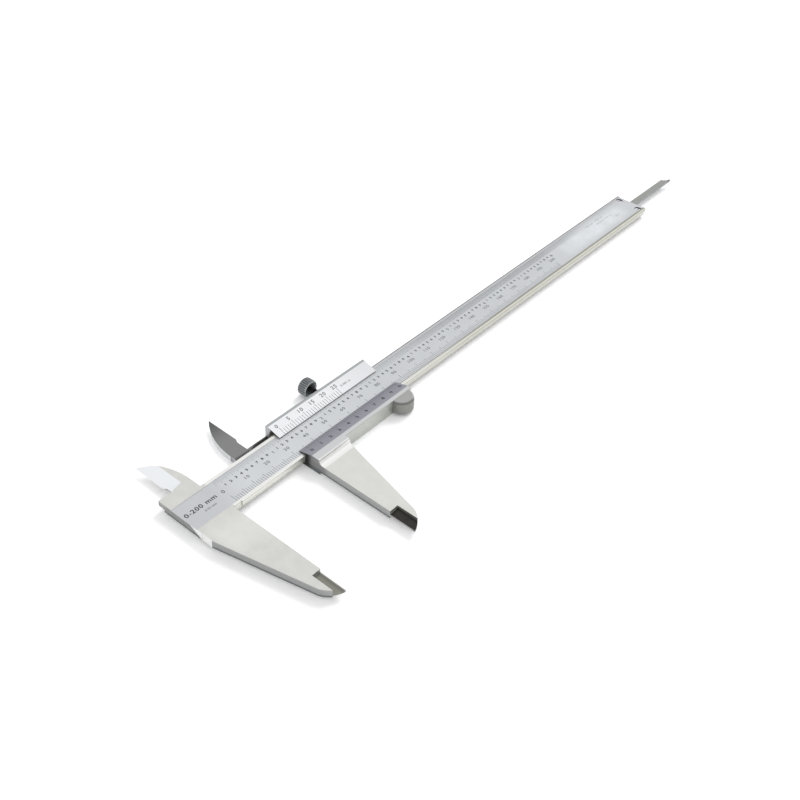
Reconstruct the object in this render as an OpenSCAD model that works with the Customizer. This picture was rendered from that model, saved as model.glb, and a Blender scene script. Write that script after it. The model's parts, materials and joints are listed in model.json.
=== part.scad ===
// Vernier caliper for 0 to 200 mm, with outside jaws, inside jaws and a depth rod.
//
// Everything is drawn in beam coordinates: X runs along the beam from the fixed
// outside measuring face, Y runs across it from its centreline towards the inside
// jaws, and Z = 0 is the level of the beam's raised rails. in_frame() then moves
// it to the model's origin, the middle of the fixed outside measuring face.

/* [Beam] */
// Length from the fixed measuring face to the far end of the beam
beam_reach = 273.2; // [225:0.1:330]
// Width of the beam
beam_w = 16; // [13:0.1:20]
// Thickness of the beam, the head and the outside jaws
beam_t = 3.5; // [2.9:0.1:4.3]
// Width of each raised rail along the beam's edges
rail_w = 1.4; // [0.8:0.1:2]
// Depth of the scale channel between the rails
channel_depth = 0.25; // [0.1:0.05:0.4]
// Length of the head behind the fixed measuring face
head_len = 15.6; // [13:0.1:20]
// Height of the head above the beam's upper edge
head_rise = 4.95; // [4.2:0.05:6]
// Size of the slanted flat along the beam's lower back edge, across
back_flat = 0.4; // [0.1:0.1:0.8]

/* [Outside jaws] */
// Reach of the outside jaws below the beam's lower edge
jaw_reach = 51.6; // [40:0.1:65]
// Length of the thin blade at each jaw's tip
blade_len = 11.3; // [8:0.1:16]
// Width of the thin blade, from the measuring edge
blade_w = 3.9; // [3:0.1:5]
// Thickness of the blade where it leaves the jaw
blade_root_t = 1.5; // [1:0.1:2.2]
// Thickness of the blade at its measuring edge
blade_edge_t = 0.8; // [0.3:0.05:1]
// Width of the sliding jaw at its root
slide_jaw_w = 16.1; // [14:0.1:18]
// Radius of the rounded back of each tip
tip_r = 10.5; // [8:0.1:13]

/* [Inside jaws] */
// Reach of the inside jaws above the beam's upper edge
inner_reach = 24.9; // [20:0.1:32]
// Width of the fixed inside jaw at its root
inner_w = 8.4; // [7:0.1:11]
// Width of the sliding inside jaw at its root
slide_inner_w = 7.6; // [6.5:0.1:10]
// Distance from the outside to the inside measuring plane
inner_set = 9.4; // [8.8:0.1:11]
// Width of the slanted flat that makes the inside measuring edge
inner_bevel = 5; // [3:0.1:6]
// Depth of the relief at the root of the inside measuring edge
inner_relief = 0.8; // [0.4:0.1:1.2]

/* [Slider] */
// Opening between the outside measuring faces, as drawn
opening = 35; // [0:0.5:200]
// Length of the slider
slider_len = 53.6; // [44:0.1:65]
// Height of the slider's front face above the beam's rails
slider_front = 2; // [1.6:0.1:2.6]
// Thickness of the slider's back wall
slider_back_t = 1.25; // [1:0.05:1.8]
// Thickness of the slider's lower wall
lower_wall = 4.87; // [4:0.01:6]
// Thickness of the slider's upper wall
upper_wall = 2.2; // [1.8:0.1:3]
// Width of the beam that shows between the two verniers
window_w = 9.95; // [8:0.05:12]

/* [Gib and clamp] */
// Thickness of the gib strip
gib_t = 1; // [0.7:0.1:1.3]
// Thickness of the leaf spring
spring_t = 0.25; // [0.15:0.05:0.35]
// Space behind the gib strip for the leaf spring
spring_gap = 1.15; // [0.9:0.05:1.6]
// Diameter of the gib set screws
set_screw_d = 2; // [1.6:0.1:2.4]
// Diameter of the clamp screw's threaded shank
clamp_d = 2.6; // [2.2:0.1:3.4]
// Diameter of the clamp screw's knurled head
knob_d = 7.2; // [6:0.1:9]
// Length of the clamp screw's knurled head
knob_len = 4.1; // [3.5:0.1:8]
// Length of bare shank between the slider and the knurled head
shank_gap = 4.3; // [1:0.1:6]

/* [Depth rod] */
// Width of the depth rod
rod_w = 3.2; // [2.4:0.1:4]
// Thickness of the depth rod
rod_t = 1.3; // [1:0.1:1.6]
// Length of the foot that fastens the rod to the slider
rod_foot = 14; // [12:0.1:16]
// Diameter of the pins in the rod's foot
rod_pin_d = 1.6; // [1.2:0.1:2]

/* [End stop] */
// Length of the end stop plate along the beam
stop_len = 12; // [9:0.1:15]
// Thickness of the end stop plate
stop_t = 1; // [0.8:0.1:1.2]
// Diameter of the end stop screws' threads
stop_screw_d = 1.8; // [1.4:0.1:2]
// Diameter of the end stop screws' heads
stop_head_d = 3; // [2.6:0.1:3.2]

/* [Thumb rest] */
// Radius of the half-round thumb rest
thumb_r = 5.1; // [4.5:0.1:7]
// Diameter of the thumb rest's pins
thumb_pin_d = 1.2; // [1:0.1:1.6]

/* [Clearances] */
// Running clearance between the beam and what slides on it
run = 0.05; // [0.02:0.01:0.1]
// Clearance between the two inside jaws where they pass
pass_gap = 0.1; // [0.05:0.01:0.2]
// Clearance between pieces that are pinned or screwed together
seat = 0.01; // [0:0.01:0.03]
// Free travel of the clamp pad before it meets the spring
clamp_free = 0.12; // [0.05:0.01:0.2]

/* [Hidden] */
$fn = 64;
past = 1;                             // how far a cutting shape runs past a face

// Levels and edges of the beam
half_w = beam_w / 2;
back_z = -beam_t;
mid_z = -beam_t / 2;
tip_y = -half_w - jaw_reach;
blade_top = tip_y + blade_len;
blade_lead = 3.1;                     // tip arc's centre past the measuring plane
blade_z = mid_z - 0.25;               // the blade lies a little towards the back
datum_y = (blade_top - half_w) / 2;   // middle of the parallel outside measuring face
head_top = half_w + head_rise;
root_drop = 5.7;                      // corner of the head below the beam's lower edge
root_relief = [3.9, 0.45];            // relief beside the root of the fixed jaw

// Inside jaws: they pass each other at this level
pass_z = -0.67 * beam_t;
inner_tip = half_w + inner_reach;
inner_step = head_top + 5.3;          // where the relieved root ends
inner_slope = 1.6;
inner_back = half_w + 2;              // above this the head is thin, so the jaws can pass
inner_rise = inner_tip - head_top;

// Slider
slide_x = opening;
floor_z = back_z - run;               // inner face of the slider's back wall
slider_z = floor_z - slider_back_t;
lip_z = run;                          // underside of the verniers
lip_t = 0.2;                          // thickness of each vernier's inner edge
low_in = -half_w - 0.6 * run;
low_out = low_in - lower_wall;
gib_y = half_w + run;
wall_in = gib_y + gib_t + spring_gap;
wall_out = wall_in + upper_wall;
window_top = 0.51 * window_w;
window_low = window_top - window_w;
land = 0.8;                           // flat top outside the upper vernier
strip = 1.7;                          // flat top outside the lower vernier
edge = 0.3;                           // chamfer on the slider's outer edges
root_land = 1.9;                      // sliding jaw's raised root past the slider's edge
root_fillet = 1.8;
wing = 3.5;                           // how far the back wing drops beside the slider
wing_x = slide_x - inner_set - slide_inner_w;
wing_run = 3;                         // length of the wing's slanted ends
wing_corner = [0.6, 0.5];             // cut corner at the wing's upper end
wing_in = 1;                          // wing's ends inside the beam's edges
root_taper = 0.9;                     // raised root narrows by this below its step

// Gib and clamp
gib_h = beam_t - 0.2;
gib_len = slider_len - 4;
spring_h = 0.8 * gib_h;
set_screw_in = 7;                     // set screws from the slider's ends
clamp_off = 2.1;                      // clamp screw from the slider's middle
clamp_x = slider_len / 2 + clamp_off;
set_screw_sink = 0.2;
set_slot_w = 0.4;
spring_end = 1.7;                     // space between the spring's ends and the set screws
spring_len = slider_len - 2 * (clamp_off + set_screw_in + spring_end) - set_screw_d;
spring_flat = 5;                      // part of the spring that lies under the pad
spring_y = gib_y + gib_t + seat;
pad_y = spring_y + spring_t + clamp_free;
pad_r = clamp_d / 2 - 0.2;
clamp_z = lip_z - 0.15 - pad_r;       // the pad just clears the vernier above it
pad_t = 0.7;
pad_stem = [clamp_d / 5, 1.1];        // radius and length
shank_y = pad_y + pad_t + seat;
knob_y = wall_out + shank_gap;
knob_edge = 0.6;

// Depth rod
web_t = 1;                            // beam left in front of the rod's groove
rod_z = -web_t - run;                 // rod's front face
rod_x = slide_x + slider_len - rod_foot - 3.6;
rod_end = beam_reach + slide_x;
groove_x = slider_len - rod_foot - 12;
rod_nose = 4.2;                       // length of the relief beside the rod's tip
rod_nose_c = [0.3, 1.4];              // centre of its hollow, past the rod's corner
rod_tip_w = 0.7;
rod_pin_pitch = 7;

// End stop
stop_inset = 0.5;
stop_w = beam_w - 2.8;
stop_screw_x = beam_reach - 2.9;
stop_screw_y = half_w - 2.75;
head_t = 0.8;
slot_w = 0.5;                         // driver slot across each screw head
head_gap = 0.15;                      // gap round each screw head in its recess
screw_sink = 0.35;                    // screw heads below the scale's surface

// Thumb rest
thumb_x = slide_x + slider_len - thumb_r - 0.7;
thumb_low = slider_z + 0.7;
thumb_high = slider_front - 0.15;
thumb_pin_x = 2.6;
thumb_pin_in = 2.3;

// Colours
steel = [0.80, 0.80, 0.78];
satin = [0.72, 0.73, 0.73];
dark = [0.22, 0.22, 0.23];
bronze = [0.72, 0.52, 0.28];

function arc(c, r, from, to, steps = 12) =
    [for (i = [0 : steps]) let (a = from + (to - from) * i / steps) c + r * [cos(a), sin(a)]];

// The model's origin is the middle of the fixed outside measuring face
module in_frame() {
    translate([0, -datum_y, -mid_z]) children();
}

// A YZ outline drawn in the XY plane, run along X
module along_x(from, length) {
    translate([from, 0, 0]) rotate([90, 0, 90]) linear_extrude(length) children();
}

module slab(low, high) {
    translate([0, 0, low]) linear_extrude(high - low) children();
}

module pin_y(x, z, from, to, r) {
    translate([x, from, z]) rotate([-90, 0, 0]) cylinder(r = r, h = to - from);
}

// Outside jaw that measures on X = 0 and lies on the negative X side of it
module outside_jaw(root_w, root_y, top_y) {
    tip_c = [blade_lead, tip_y + sqrt(pow(tip_r, 2) - pow(blade_lead, 2))];
    outline = concat([[0, top_y]],
                     arc(tip_c, tip_r, 270 - asin(blade_lead / tip_r), 202),
                     [[-root_w, root_y], [-root_w, top_y]]);
    difference() {
        slab(back_z, 0) polygon(outline);
        translate([-blade_w, tip_y - past, back_z - past])
            cube([blade_w + past, blade_len + past, beam_t + 2 * past]);
    }
    intersection() {
        slab(back_z, 0) polygon(outline);
        translate([0, blade_top + past / 2, 0]) rotate([90, 0, 0]) linear_extrude(blade_len + past)
            polygon([[-blade_w - past / 2, blade_z + blade_root_t / 2],
                     [-blade_w, blade_z + blade_root_t / 2],
                     [0, blade_z + blade_edge_t / 2],
                     [0, blade_z - blade_edge_t / 2],
                     [-blade_w, blade_z - blade_root_t / 2],
                     [-blade_w - past / 2, blade_z - blade_root_t / 2]]);
    }
}

// Inside jaw that measures on its negative X side. It is thin, between two levels,
// and a slanted flat on the side named by face brings it to an edge.
module inside_jaw(width, low, high, from_y, face) {
    tip_x = -inner_set;
    root_x = tip_x + width;
    back_r = (pow(width, 2) + pow(inner_rise, 2)) / (2 * width);
    outline = concat([[tip_x + inner_relief, from_y], [root_x, from_y]],
                     arc([root_x - back_r, head_top], back_r, 0, asin(inner_rise / back_r)),
                     [[tip_x, inner_step], [tip_x + inner_relief, inner_step - inner_slope]]);
    sharp = face > 0 ? low : high;
    flat_z = face > 0 ? high : low;
    difference() {
        slab(low, high) polygon(outline);
        intersection() {
            translate([0, inner_tip + past, 0]) rotate([90, 0, 0]) linear_extrude(2 * inner_reach)
                polygon([[tip_x - past, sharp], [tip_x, sharp], [tip_x + inner_bevel, flat_z],
                         [tip_x + inner_bevel, flat_z + face * past],
                         [tip_x - past, flat_z + face * past]]);
            slab(low - past, high + past)
                polygon([[tip_x - past, head_top], [tip_x, head_top + 0.1],
                         [tip_x + inner_bevel + past, head_top + 1.4],
                         [tip_x + inner_bevel + past, inner_tip + past],
                         [tip_x - past, inner_tip + past]]);
        }
    }
}

module main_beam() color(steel) in_frame() {
    difference() {
        union() {
            translate([-head_len, -half_w, back_z]) cube([beam_reach + head_len, beam_w, beam_t]);
            outside_jaw(head_len, -half_w - root_drop, -half_w + past);
            translate([-head_len, 0, back_z]) cube([head_len - inner_set + inner_w - past, inner_back, beam_t]);
            translate([-head_len, 0, pass_z])
                cube([head_len - inner_set + inner_relief + past, head_top, -pass_z]);
            inside_jaw(inner_w, pass_z, 0, half_w - past, 1);
        }
        // Scale channel between the rails
        translate([-head_len - past, -half_w + rail_w, -channel_depth])
            cube([beam_reach + head_len + 2 * past, beam_w - 2 * rail_w, channel_depth + past]);
        // Groove for the depth rod
        translate([groove_x, -rod_w / 2 - run, back_z - past])
            cube([beam_reach - groove_x + past, rod_w + 2 * run, past + back_depth()]);
        // Relief beside the root of the fixed jaw
        translate([0, -half_w - past, back_z - past])
            cube([root_relief.x, root_relief.y + past, beam_t + 2 * past]);
        // Slanted flat along the lower back edge
        along_x(root_relief.x, beam_reach)
            polygon([[-half_w - past, mid_z + 0.25], [-half_w, mid_z + 0.25],
                     [-half_w + back_flat, back_z], [-half_w + back_flat, back_z - past],
                     [-half_w - past, back_z - past]]);
        for (side = [-1, 1]) translate([stop_screw_x, side * stop_screw_y, back_z - past]) {
            cylinder(d = stop_screw_d + 2 * seat, h = beam_t + 2 * past);
            translate([0, 0, past + head_seat()])
                cylinder(d = stop_head_d + 2 * head_gap, h = beam_t + past);
        }
    }
}

function head_seat() = beam_t - channel_depth - screw_sink - head_t;

function back_depth() = rod_z + run - back_z;

module end_stop() color(satin) in_frame() {
    difference() {
        translate([beam_reach - stop_inset - stop_len, -stop_w / 2, back_z - stop_t])
            cube([stop_len, stop_w, stop_t]);
        for (side = [-1, 1]) translate([stop_screw_x, side * stop_screw_y, back_z - stop_t - past])
            cylinder(d = stop_screw_d + 2 * seat, h = stop_t + 2 * past);
    }
}

module end_stop_screws() color(dark) in_frame() {
    for (side = [-1, 1]) translate([stop_screw_x, side * stop_screw_y, back_z]) difference() {
        union() {
            translate([0, 0, -stop_t]) cylinder(d = stop_screw_d, h = stop_t + head_seat() + head_t / 2);
            translate([0, 0, head_seat() + seat]) cylinder(d = stop_head_d, h = head_t - seat);
        }
        translate([-stop_head_d, -slot_w / 2, head_seat() + head_t / 2])
            cube([2 * stop_head_d, slot_w, head_t]);
    }
}

// Section across the slider: a channel that is open in front, with both verniers
module slider_section() {
    polygon([[low_out, slider_z + edge], [low_out + edge, slider_z],
             [wall_out - edge, slider_z], [wall_out, slider_z + edge],
             [wall_out, slider_front - edge], [wall_out - edge, slider_front],
             [wall_out - land, slider_front], [window_top, lip_z + lip_t],
             [window_top, lip_z], [wall_in, lip_z], [wall_in, floor_z],
             [low_in, floor_z], [low_in, lip_z], [window_low, lip_z],
             [window_low, lip_z + lip_t], [low_out + strip, slider_front],
             [low_out + edge / 2, slider_front], [low_out, slider_front - edge / 2]]);
}

// Raised root of the sliding jaw, with a hollow fillet down to the jaw on both sides
module jaw_root_section() {
    wall_y = low_out - root_land;
    polygon(concat([[low_out + strip, slider_front], [wall_y, slider_front]],
                   arc([wall_y - root_fillet, root_fillet], root_fillet, 0, -90, 8),
                   arc([wall_y - root_fillet, back_z - root_fillet], root_fillet, 90, 45, 5),
                   [[wall_y - root_fillet * (1 - cos(45)), slider_z], [low_out + strip, slider_z]]));
}

module slider() color(steel) in_frame() {
    difference() {
        union() {
            along_x(slide_x, slider_len) slider_section();
            // Outside jaw and its raised root
            translate([slide_x, 0, 0]) mirror([1, 0, 0])
                outside_jaw(slide_jaw_w, low_out - root_land, low_in);
            intersection() {
                along_x(slide_x, slide_jaw_w + past) jaw_root_section();
                slab(slider_z - past, slider_front + past)
                    polygon([[slide_x, low_in], [slide_x, low_out - 2 * root_fillet - root_land],
                             [slide_x + slide_jaw_w - root_taper, low_out - 2 * root_fillet - root_land],
                             [slide_x + slide_jaw_w, low_out - root_land],
                             [slide_x + slide_jaw_w, low_in]]);
            }
            // Wing behind the beam that carries the inside jaw
            slab(slider_z, floor_z)
                polygon([[slide_x + past, wall_out], [wing_x + wing_corner.x, wall_out],
                         [wing_x, wall_out - wing_corner.y],
                         [wing_x, half_w - wing_in],
                         [wing_x + wing_run, half_w - wing],
                         [slide_x - wing_run, -half_w + wing],
                         [slide_x + past, -half_w + wing_in]]);
            slider_inner_jaw();
        }
        // Set screws and clamp screw through the upper wall
        for (x = [set_screw_in, slider_len - set_screw_in])
            pin_y(slide_x + x, mid_z, wall_in - past, wall_out + past, set_screw_d / 2 + seat);
        pin_y(slide_x + clamp_x, clamp_z, wall_in - past / 2, wall_out + past, clamp_d / 2 + run);
        // Pin holes for the depth rod and the thumb rest
        for (x = rod_pins()) translate([x, 0, slider_z - past])
            cylinder(d = rod_pin_d + 2 * seat, h = slider_back_t + past + 0.5);
        for (side = [-1, 1])
            pin_y(thumb_x + side * thumb_pin_x, mid_z, low_out - past, low_out + thumb_pin_in + seat,
                  thumb_pin_d / 2 + seat);
    }
}

// The sliding inside jaw mirrors the fixed one, on the other side of the passing level
module slider_inner_jaw() {
    translate([slide_x - 2 * inner_set, 0, 0]) mirror([1, 0, 0])
        inside_jaw(slide_inner_w, slider_z, pass_z - pass_gap, inner_back + pass_gap, -1);
}

function rod_pins() = [for (k = [-0.5, 0.5]) rod_x + rod_foot / 2 + k * rod_pin_pitch];

module gib_strip() color(bronze) in_frame() {
    translate([slide_x + (slider_len - gib_len) / 2, gib_y, mid_z - gib_h / 2])
        cube([gib_len, gib_t, gib_h]);
}

// Two bows that press on the slider's wall, with a flat between them
module leaf_spring() color(bronze) in_frame() {
    rise = wall_in - seat - spring_t - spring_y;
    bow = (spring_len - spring_flat) / 2;
    steps = 16;
    line = concat(
        [for (i = [0 : steps]) [-spring_len / 2 + bow * i / steps, rise * (1 - cos(360 * i / steps)) / 2]],
        [for (i = [0 : steps]) [spring_flat / 2 + bow * i / steps, rise * (1 - cos(360 * i / steps)) / 2]]);
    back = [for (i = [len(line) - 1 : -1 : 0]) line[i] + [0, spring_t]];
    translate([slide_x + clamp_x, spring_y, 0]) slab(mid_z - spring_h / 2, mid_z + spring_h / 2)
        polygon(concat(line, back));
}

module gib_set_screws() color(dark) in_frame() {
    for (x = [set_screw_in, slider_len - set_screw_in]) difference() {
        pin_y(slide_x + x, mid_z, spring_y, wall_out - set_screw_sink, set_screw_d / 2);
        translate([slide_x + x - set_screw_d, wall_out - set_screw_sink - head_t, mid_z - set_slot_w / 2])
            cube([2 * set_screw_d, past, set_slot_w]);
    }
}

module clamp_pad() color(bronze) in_frame() {
    pin_y(slide_x + clamp_x, clamp_z, pad_y, pad_y + pad_t, pad_r);
    pin_y(slide_x + clamp_x, clamp_z, pad_y + pad_t / 2, pad_y + pad_t + pad_stem[1], pad_stem[0]);
}

module clamp_screw() color(dark) in_frame() {
    translate([slide_x + clamp_x, 0, clamp_z]) rotate([-90, 0, 0]) rotate_extrude()
        polygon([[0, shank_y + pad_stem[1] + run], [pad_stem[0] + run, shank_y + pad_stem[1] + run],
                 [pad_stem[0] + run, shank_y], [clamp_d / 2, shank_y], [clamp_d / 2, knob_y],
                 [knob_d / 2 - knob_edge, knob_y], [knob_d / 2, knob_y + knob_edge],
                 [knob_d / 2, knob_y + knob_len - knob_edge],
                 [knob_d / 2 - knob_edge, knob_y + knob_len], [0, knob_y + knob_len]]);
}

module depth_rod() color(steel) in_frame() {
    difference() {
        union() {
            translate([rod_x, -rod_w / 2, rod_z - rod_t]) cube([rod_end - rod_x, rod_w, rod_t]);
            translate([rod_x, -rod_w / 2, floor_z]) cube([rod_foot, rod_w, rod_z - floor_z]);
        }
        // Hollow relief beside the measuring tip
        slab(rod_z - rod_t - past, rod_z + past) polygon(concat(
            [[rod_end + past, rod_w / 2 + past], [rod_end - rod_nose, rod_w / 2 + past]],
            arc([rod_end, rod_w / 2] + rod_nose_c, rod_nose, 200, 262, 8),
            [[rod_end + past, -rod_w / 2 + rod_tip_w]]));
        for (x = rod_pins()) translate([x, 0, floor_z - past])
            cylinder(d = rod_pin_d + 2 * seat, h = rod_pin_in() + past);
    }
}

function rod_pin_in() = (rod_z - floor_z) * 0.7;

module depth_rod_pins() color(satin) in_frame() {
    for (x = rod_pins()) translate([x, 0, slider_z])
        cylinder(d = rod_pin_d, h = slider_back_t + rod_pin_in() - seat);
}

module thumb_rest() color(satin) in_frame() {
    round_edge = 1.1;
    difference() {
        translate([thumb_x, low_out, 0]) rotate_extrude() polygon(concat(
            [[0, thumb_low], [thumb_r - 0.5, thumb_low], [thumb_r, thumb_low + 0.5]],
            arc([thumb_r - round_edge, thumb_high - round_edge], round_edge, 0, 90, 8),
            [[0, thumb_high]]));
        translate([thumb_x - thumb_r - past, low_out - seat, thumb_low - past])
            cube([2 * (thumb_r + past), thumb_r + past, thumb_high - thumb_low + 2 * past]);
        for (side = [-1, 1])
            pin_y(thumb_x + side * thumb_pin_x, mid_z, low_out - thumb_pin_in - seat, low_out + past,
                  thumb_pin_d / 2 + seat);
    }
}

module thumb_rest_pins() color(dark) in_frame() {
    for (side = [-1, 1])
        pin_y(thumb_x + side * thumb_pin_x, mid_z, low_out - thumb_pin_in, low_out + thumb_pin_in,
              thumb_pin_d / 2);
}

main_beam();
end_stop();
end_stop_screws();
slider();
gib_strip();
leaf_spring();
gib_set_screws();
clamp_pad();
clamp_screw();
depth_rod();
depth_rod_pins();
thumb_rest();
thumb_rest_pins();
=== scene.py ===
import json
import math

import bpy
from mathutils import Matrix, Vector


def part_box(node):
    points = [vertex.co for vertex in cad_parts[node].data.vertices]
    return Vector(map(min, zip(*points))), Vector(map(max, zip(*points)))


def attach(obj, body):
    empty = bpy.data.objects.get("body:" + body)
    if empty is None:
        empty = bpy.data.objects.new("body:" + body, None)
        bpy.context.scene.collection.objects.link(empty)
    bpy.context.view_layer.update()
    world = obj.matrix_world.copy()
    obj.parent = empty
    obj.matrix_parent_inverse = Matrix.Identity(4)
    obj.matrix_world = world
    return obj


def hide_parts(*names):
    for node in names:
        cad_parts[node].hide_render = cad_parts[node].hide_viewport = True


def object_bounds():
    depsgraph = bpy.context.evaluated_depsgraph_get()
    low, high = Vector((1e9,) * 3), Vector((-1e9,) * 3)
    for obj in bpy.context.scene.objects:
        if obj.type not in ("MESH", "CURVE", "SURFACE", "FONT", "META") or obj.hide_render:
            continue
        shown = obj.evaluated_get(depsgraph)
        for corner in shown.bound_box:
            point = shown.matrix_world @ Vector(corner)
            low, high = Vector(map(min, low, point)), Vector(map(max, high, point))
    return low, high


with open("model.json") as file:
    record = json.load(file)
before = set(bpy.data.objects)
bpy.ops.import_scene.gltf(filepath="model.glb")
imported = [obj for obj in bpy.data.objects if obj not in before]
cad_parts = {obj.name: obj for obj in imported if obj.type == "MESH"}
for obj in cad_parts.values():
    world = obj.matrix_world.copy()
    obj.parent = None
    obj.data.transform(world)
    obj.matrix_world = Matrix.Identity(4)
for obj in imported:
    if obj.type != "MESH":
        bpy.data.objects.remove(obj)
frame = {"record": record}
CAD_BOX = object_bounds()

bl_info = {
    "name": "Vernier Caliper",
    "version": (1, 0, 0),
    "blender": (4, 5, 0),
    "location": "View3D > Sidebar > Caliper",
    "description": "Marks, clamp screw, finishes and stage for a vernier caliper",
    "category": "Object",
}

# Places on the caliper, in millimetres from the fixed measuring face, the beam's
# centreline and the level of its rails
MM = 0.001
ROD_BOX, BEAM_BOX, KNOB_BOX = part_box("depth_rod"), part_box("main_beam"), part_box("clamp_screw")
CENTRE_Y = (ROD_BOX[0].y + ROD_BOX[1].y) / 2
RAIL_Z = BEAM_BOX[1].z
MOUNTS = {mount["name"]: mount["pos_m"] for mount in frame["record"]["mounts"]}
SLIDE_X = MOUNTS["sliding_measuring_face"][0] / MM
ROD_END = ROD_BOX[1].x / MM
CHANNEL_Z = -0.25            # floor of the beam's scale channel
BEAM_HALF = 8.0              # half of the beam's width
RAIL_IN = 6.6                # inner edge of each rail
FRONT_Z = 2.0                # front face of the slider
VERNIER_Z = 0.25             # top of each vernier's inner edge
UPPER_IN, UPPER_OUT = 5.0745, 11.6      # inner and outer edge of the inch vernier
LOWER_IN, LOWER_OUT = -4.8755, -11.2    # the same of the millimetre vernier
UPPER_TILT = math.atan2(FRONT_Z - VERNIER_Z, UPPER_OUT - UPPER_IN)
LOWER_TILT = math.atan2(FRONT_Z - VERNIER_Z, LOWER_IN - LOWER_OUT)
JAW_ROOT = -14.8             # raised root of the sliding jaw
BLADE_TOP = -48.3            # where each jaw's thin blade starts
BLADE_W = 3.95               # width of that blade
BLADE_Z = -0.6               # level that the blades stay below
FAR_X, FAR_SOFT = 110, 40    # where the beam's far part, painted darker as a dimmer reflection, starts, and over how much
RECESS_X = (260, 273.1)      # along the recesses of the end stop screws
RECESS_Z = (-1.6, -0.31)     # and down into them
ZERO = 3.06                  # the scales' zero past the measuring face
INCH = 25.4

# Tints of the steel, light to dark, many of them painted highlights, reflections and shade, then
# the pairs that grain or place mixes
BRIGHT_LINE = (0.95, 0.95, 0.94)
CORNER_HIGHLIGHT = (0.93, 0.93, 0.92)
GROOVE_WALL = (0.93, 0.93, 0.90)
RIM_HIGHLIGHT = (0.92, 0.92, 0.90)
FLAT_REFLECTION = (0.90, 0.92, 0.94)
LIGHTER_ROOT = (0.86, 0.86, 0.83)
EDGE_HIGHLIGHT = (0.80, 0.81, 0.80)
RAIL_EDGE_HIGHLIGHT = (0.78, 0.78, 0.70)
WING_BACK = (0.72, 0.74, 0.74)
ROOT_STRIP = (0.62, 0.63, 0.64)
SLIDER_SIDE = (0.50, 0.52, 0.48)
UPPER_END = (0.45, 0.46, 0.47)
VERNIER_LAND = (0.40, 0.42, 0.43)
FAR_RAIL_REFLECTION = (0.40, 0.40, 0.35)
OLIVE = (0.36, 0.36, 0.30)
BLADE_EDGE_HIGHLIGHT = (0.36, 0.36, 0.33)
STEP_SHADE = (0.25, 0.24, 0.20)
RAIL_STEP_SHADE = (0.22, 0.21, 0.18)
FOOT_SHADE = (0.13, 0.145, 0.15)
END_SHADOW = (0.02, 0.022, 0.02)
RECESS = (0.02, 0.02, 0.03)
STEM_SHADOW = (0.015, 0.015, 0.016)
NEAR_SIDE = (0.73, 0.73, 0.68), (0.82, 0.82, 0.77)
FAR_SIDE = (0.65, 0.65, 0.59), (0.70, 0.70, 0.65)
FIXED_BLADE_REFLECTION = (0.25, 0.25, 0.215), (0.14, 0.14, 0.12)
INSIDE_JAW_REFLECTION = (0.24, 0.24, 0.24), (0.10, 0.10, 0.105)
SLIDING_BLADE_SHADOW = (0.010, 0.010, 0.010), (0.055, 0.052, 0.045)

# The camera and the soft light, in metres
CAMERA_PLACE = (-0.178512, -0.185395, 0.286467)
CAMERA_AHEAD = (0.59891, 0.46107, -0.65477)
CAMERA_UP = (0.47518, 0.45352, 0.75400)
KEY_PLACE, KEY_SIZE = (2.8, 0.4, 2.6), 2.0
FLOOR_SIZE, FLOOR_GAP = 12, 0.00002
FLOOR_GLOW = 0.125           # lifts the floor's shadows as a bright room does


def at(x, y, z):
    """A place on the caliper, in metres in the frame."""
    return Vector((x * MM, y * MM + CENTRE_Y, z * MM + RAIL_Z))


def shaded(colour, share):
    """The same colour, lighter or darker."""
    return tuple(share * part for part in tuple(colour)[:3])


# ---------------------------------------------------------------- settings

class CaliperScaleSettings(bpy.types.PropertyGroup):
    line: bpy.props.FloatProperty(
        name="Line", description="Width of an engraved line",
        default=0.00016, min=0.00005, max=0.0003, unit="LENGTH")
    proud: bpy.props.FloatProperty(
        name="Ink height", description="How far the ink of a mark stands above the steel",
        default=0.000008, min=0.000002, max=0.00005, unit="LENGTH")
    numeral: bpy.props.FloatProperty(
        name="Numeral", description="Height of the numerals on the millimetre scale",
        default=0.00135, min=0.0008, max=0.002, unit="LENGTH")
    ink: bpy.props.FloatVectorProperty(
        name="Ink", description="Colour of the ink in the engraved marks",
        default=(0.02, 0.022, 0.026), subtype="COLOR", min=0, max=1)
    line_ink: bpy.props.FloatVectorProperty(
        name="Line ink", description="Colour of the ink in the fine lines",
        default=(0.06, 0.063, 0.07), subtype="COLOR", min=0, max=1)


class CaliperClampSettings(bpy.types.PropertyGroup):
    ridges: bpy.props.IntProperty(
        name="Ridges", description="Ridges of the knurl round the clamp screw's head",
        default=26, min=16, max=80)
    ridge_depth: bpy.props.FloatProperty(
        name="Ridge depth", description="Depth of the knurl",
        default=0.00036, min=0.00005, max=0.0005, unit="LENGTH")
    shank: bpy.props.FloatProperty(
        name="Shank", description="Diameter of the clamp screw's threaded shank",
        default=0.00252, min=0.002, max=0.00256, unit="LENGTH")
    pitch: bpy.props.FloatProperty(
        name="Pitch", description="Pitch of the clamp screw's thread",
        default=0.0005, min=0.0003, max=0.0008, unit="LENGTH")
    colour: bpy.props.FloatVectorProperty(
        name="Black oxide", description="Colour of the blackened clamp screw",
        default=(0.15, 0.16, 0.165), subtype="COLOR", min=0, max=1)


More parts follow.
